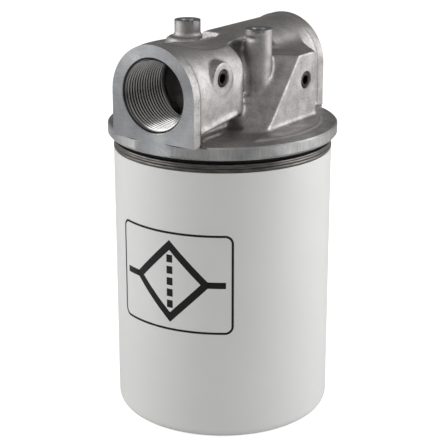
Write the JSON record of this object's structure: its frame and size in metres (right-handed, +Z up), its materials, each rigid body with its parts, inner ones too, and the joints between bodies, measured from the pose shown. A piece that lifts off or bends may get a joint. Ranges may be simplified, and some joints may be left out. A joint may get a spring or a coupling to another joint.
{
  "type": "spin-on hydraulic filter",
  "caption": "Spin-on hydraulic filter: cast aluminium head with two large threaded ports, two mounting bosses and gauge plugs, over a white screw-on steel canister.",
  "frame": {"origin": "centre of the canister's underside, on the plane that it stands on", "axes": "+Z up along the canister's axis, +X from the inlet port to the outlet port, -Y towards the side with the gauge plugs"},
  "size_m": [0.1332, 0.1356, 0.2342],
  "materials": {
    "cast_aluminium": "sand-blasted casting with machined faces",
    "black_oxide": "black oxide",
    "plated_steel": "zinc plated",
    "bare_steel": "oiled bare sheet and spring steel",
    "white_paint": "semi-gloss powder coat",
    "black_rubber": "moulded nitrile",
    "filter_paper": "resin-stiffened paper"
  },
  "bodies": {
    "head": {"filter_head": "cast_aluminium", "inlet_gauge_plug": "black_oxide", "outlet_gauge_plug": "black_oxide", "threaded_spud": "plated_steel", "bypass_seat": "plated_steel", "bypass_cage": "plated_steel", "bypass_circlip": "black_oxide", "bypass_spring": "bare_steel"},
    "poppet": {"bypass_poppet": "plated_steel"},
    "gasket": {"can_gasket": "black_rubber"},
    "canister": {"canister_shell": "white_paint", "seaming_lid": "bare_steel", "tapped_plate": "bare_steel", "element_grommet": "black_rubber", "element_top_cap": "plated_steel", "pleated_media": "filter_paper", "media_side_seam": "plated_steel", "centre_tube": "bare_steel", "element_bottom_cap": "plated_steel", "spring_cup": "plated_steel", "support_spring": "bare_steel"}
  },
  "joints": [
    {"name": "bypass_lift", "type": "slide", "parent": "head", "child": "poppet", "axis": [1, 0, 0], "range_m": [0, 0.006], "stiffness_N_per_m": 4000, "springref_m": -0.008, "deforming": ["bypass_spring"]},
    {"name": "canister_travel", "type": "slide", "parent": "head", "child": "gasket", "axis": [0, 0, -1], "range_m": [0, 0.0127]},
    {"name": "canister_turn", "type": "hinge", "parent": "gasket", "child": "canister", "pos_m": [0, 0, 0.165], "axis": [0, 0, -1], "range_deg": [0, 2880]}
  ],
  "couplings": [
    {"joint": "canister_travel", "follows": "canister_turn", "m_per_rad": 0.00025266}
  ]
}
